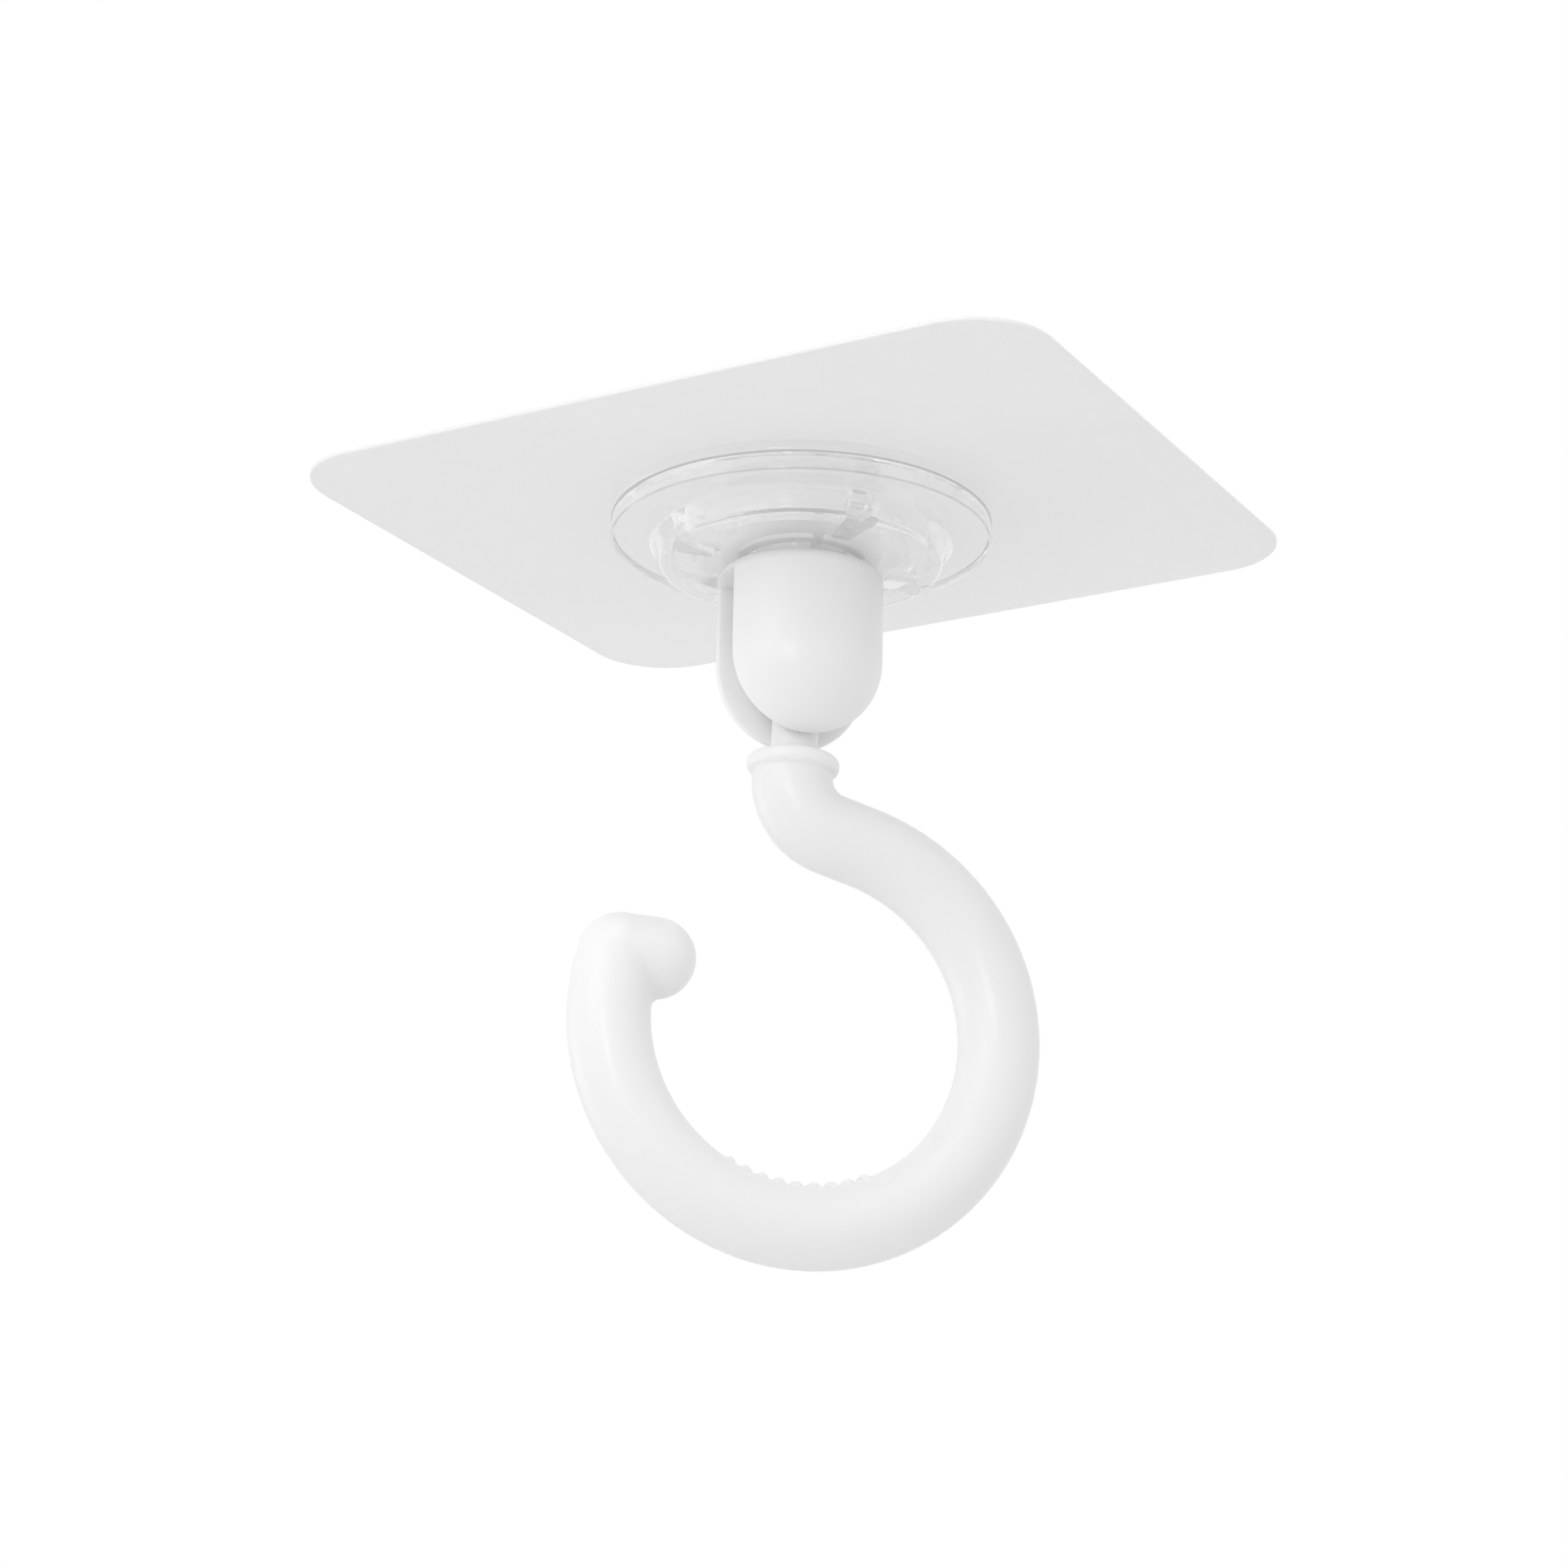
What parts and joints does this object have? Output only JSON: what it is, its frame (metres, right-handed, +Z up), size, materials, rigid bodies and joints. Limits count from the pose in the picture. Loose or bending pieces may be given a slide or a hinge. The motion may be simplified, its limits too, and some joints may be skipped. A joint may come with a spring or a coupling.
{
  "type": "ceiling hook",
  "caption": "Adhesive ceiling hook: clear sheet and disc, white yoke that turns all the way round, and a white open-ring hook that swings in it.",
  "frame": {"origin": "middle of the adhesive sheet's upper face, where it meets the ceiling", "axes": "+Z up into the ceiling, X along the sheet's long side, Y along its short side; the hook's plane stands at 45 degrees between +X and +Y in the stored pose"},
  "size_m": [0.09, 0.076, 0.0865],
  "materials": {
    "clear_film": "clear film, slightly milky",
    "clear_plastic": "clear moulded plastic, polished",
    "white_plastic": "white moulded plastic, gloss"
  },
  "bodies": {
    "ceiling_plate": {"adhesive_sheet": "clear_film", "base_disc": "clear_plastic", "cover_disc": "clear_plastic"},
    "yoke": {"yoke": "white_plastic"},
    "hook": {"hook": "white_plastic"}
  },
  "joints": [
    {"name": "yoke_swivel", "type": "hinge", "parent": "ceiling_plate", "child": "yoke", "pos_m": [0, 0, -0.007], "axis": [0, 0, 1], "continuous": true},
    {"name": "hook_swing", "type": "hinge", "parent": "yoke", "child": "hook", "pos_m": [0, 0, -0.0185], "axis": [0.7071, -0.7071, 0], "range_deg": [-70, 70]}
  ]
}
